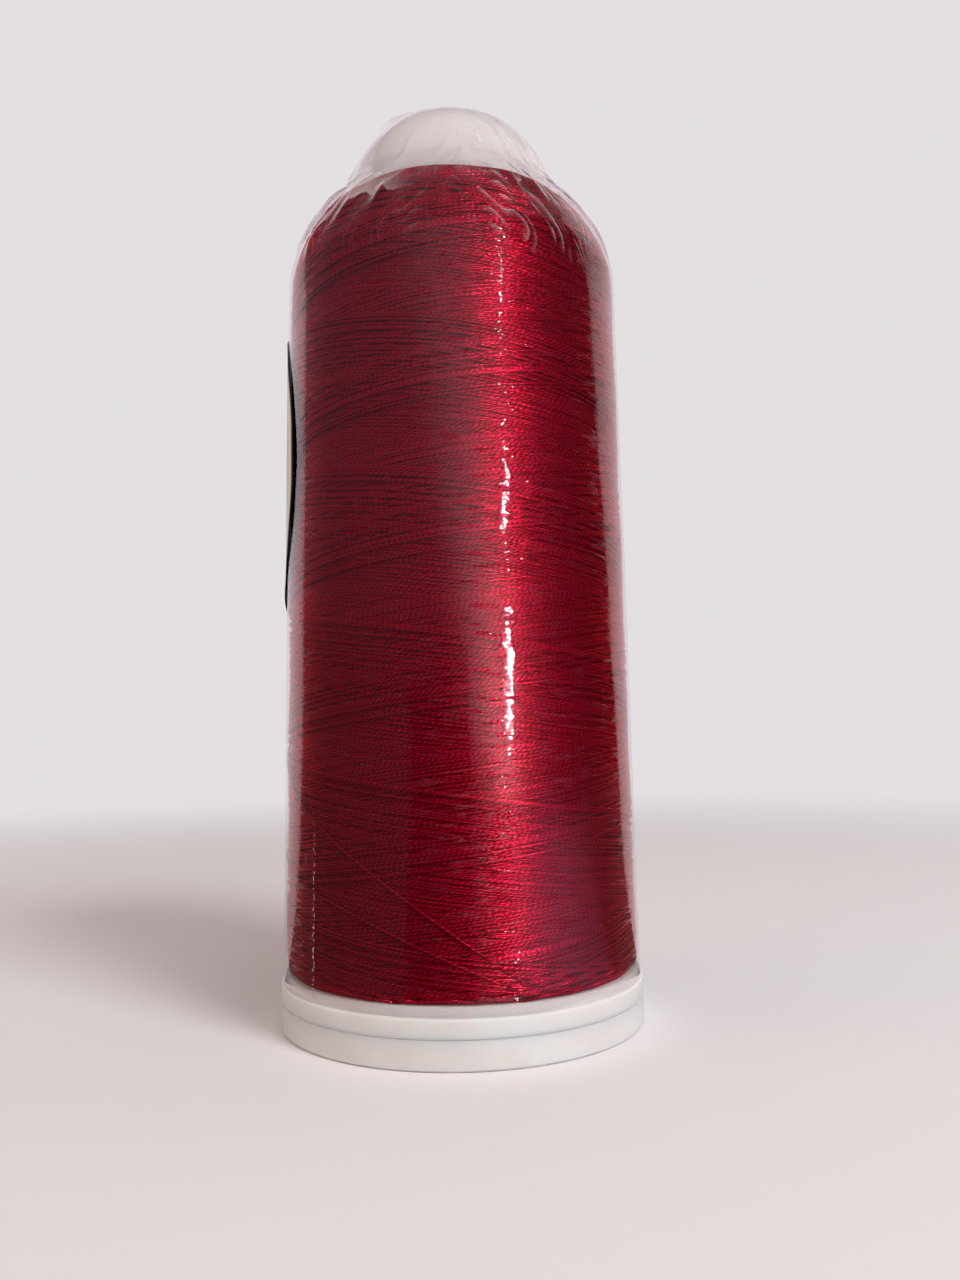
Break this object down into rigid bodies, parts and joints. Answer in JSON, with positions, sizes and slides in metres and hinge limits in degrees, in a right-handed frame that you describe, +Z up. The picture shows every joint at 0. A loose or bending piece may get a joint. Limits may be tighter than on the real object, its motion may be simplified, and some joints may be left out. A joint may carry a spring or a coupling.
{
  "type": "spool of thread",
  "caption": "Tall king spool of machine embroidery thread, cross-wound on a hollow tapered core with a snap-lock foot, in a clear film sleeve with an oval sticker.",
  "frame": {"origin": "centre of the foot's underside, on the table", "axes": "+Z up the spool's axis to the nose; -Y is the front; the sticker is towards -X"},
  "size_m": [0.064, 0.064, 0.1641],
  "materials": {
    "core_plastic": "natural translucent polypropylene, satin",
    "thread": "bright trilobal filament thread, two-ply",
    "film": "clear glossy shrink film",
    "sticker": "printed gloss paper, plain"
  },
  "bodies": {
    "core": {"spool_core": "core_plastic", "thread_pack": "thread", "outer_winding": "thread", "shrink_film": "film", "label": "sticker"},
    "base": {"snap_base": "core_plastic"}
  },
  "joints": [
    {"name": "thread_lock_slide", "type": "slide", "parent": "core", "child": "base", "axis": [0, 0, -1], "range_m": [0, 0.0032]}
  ]
}
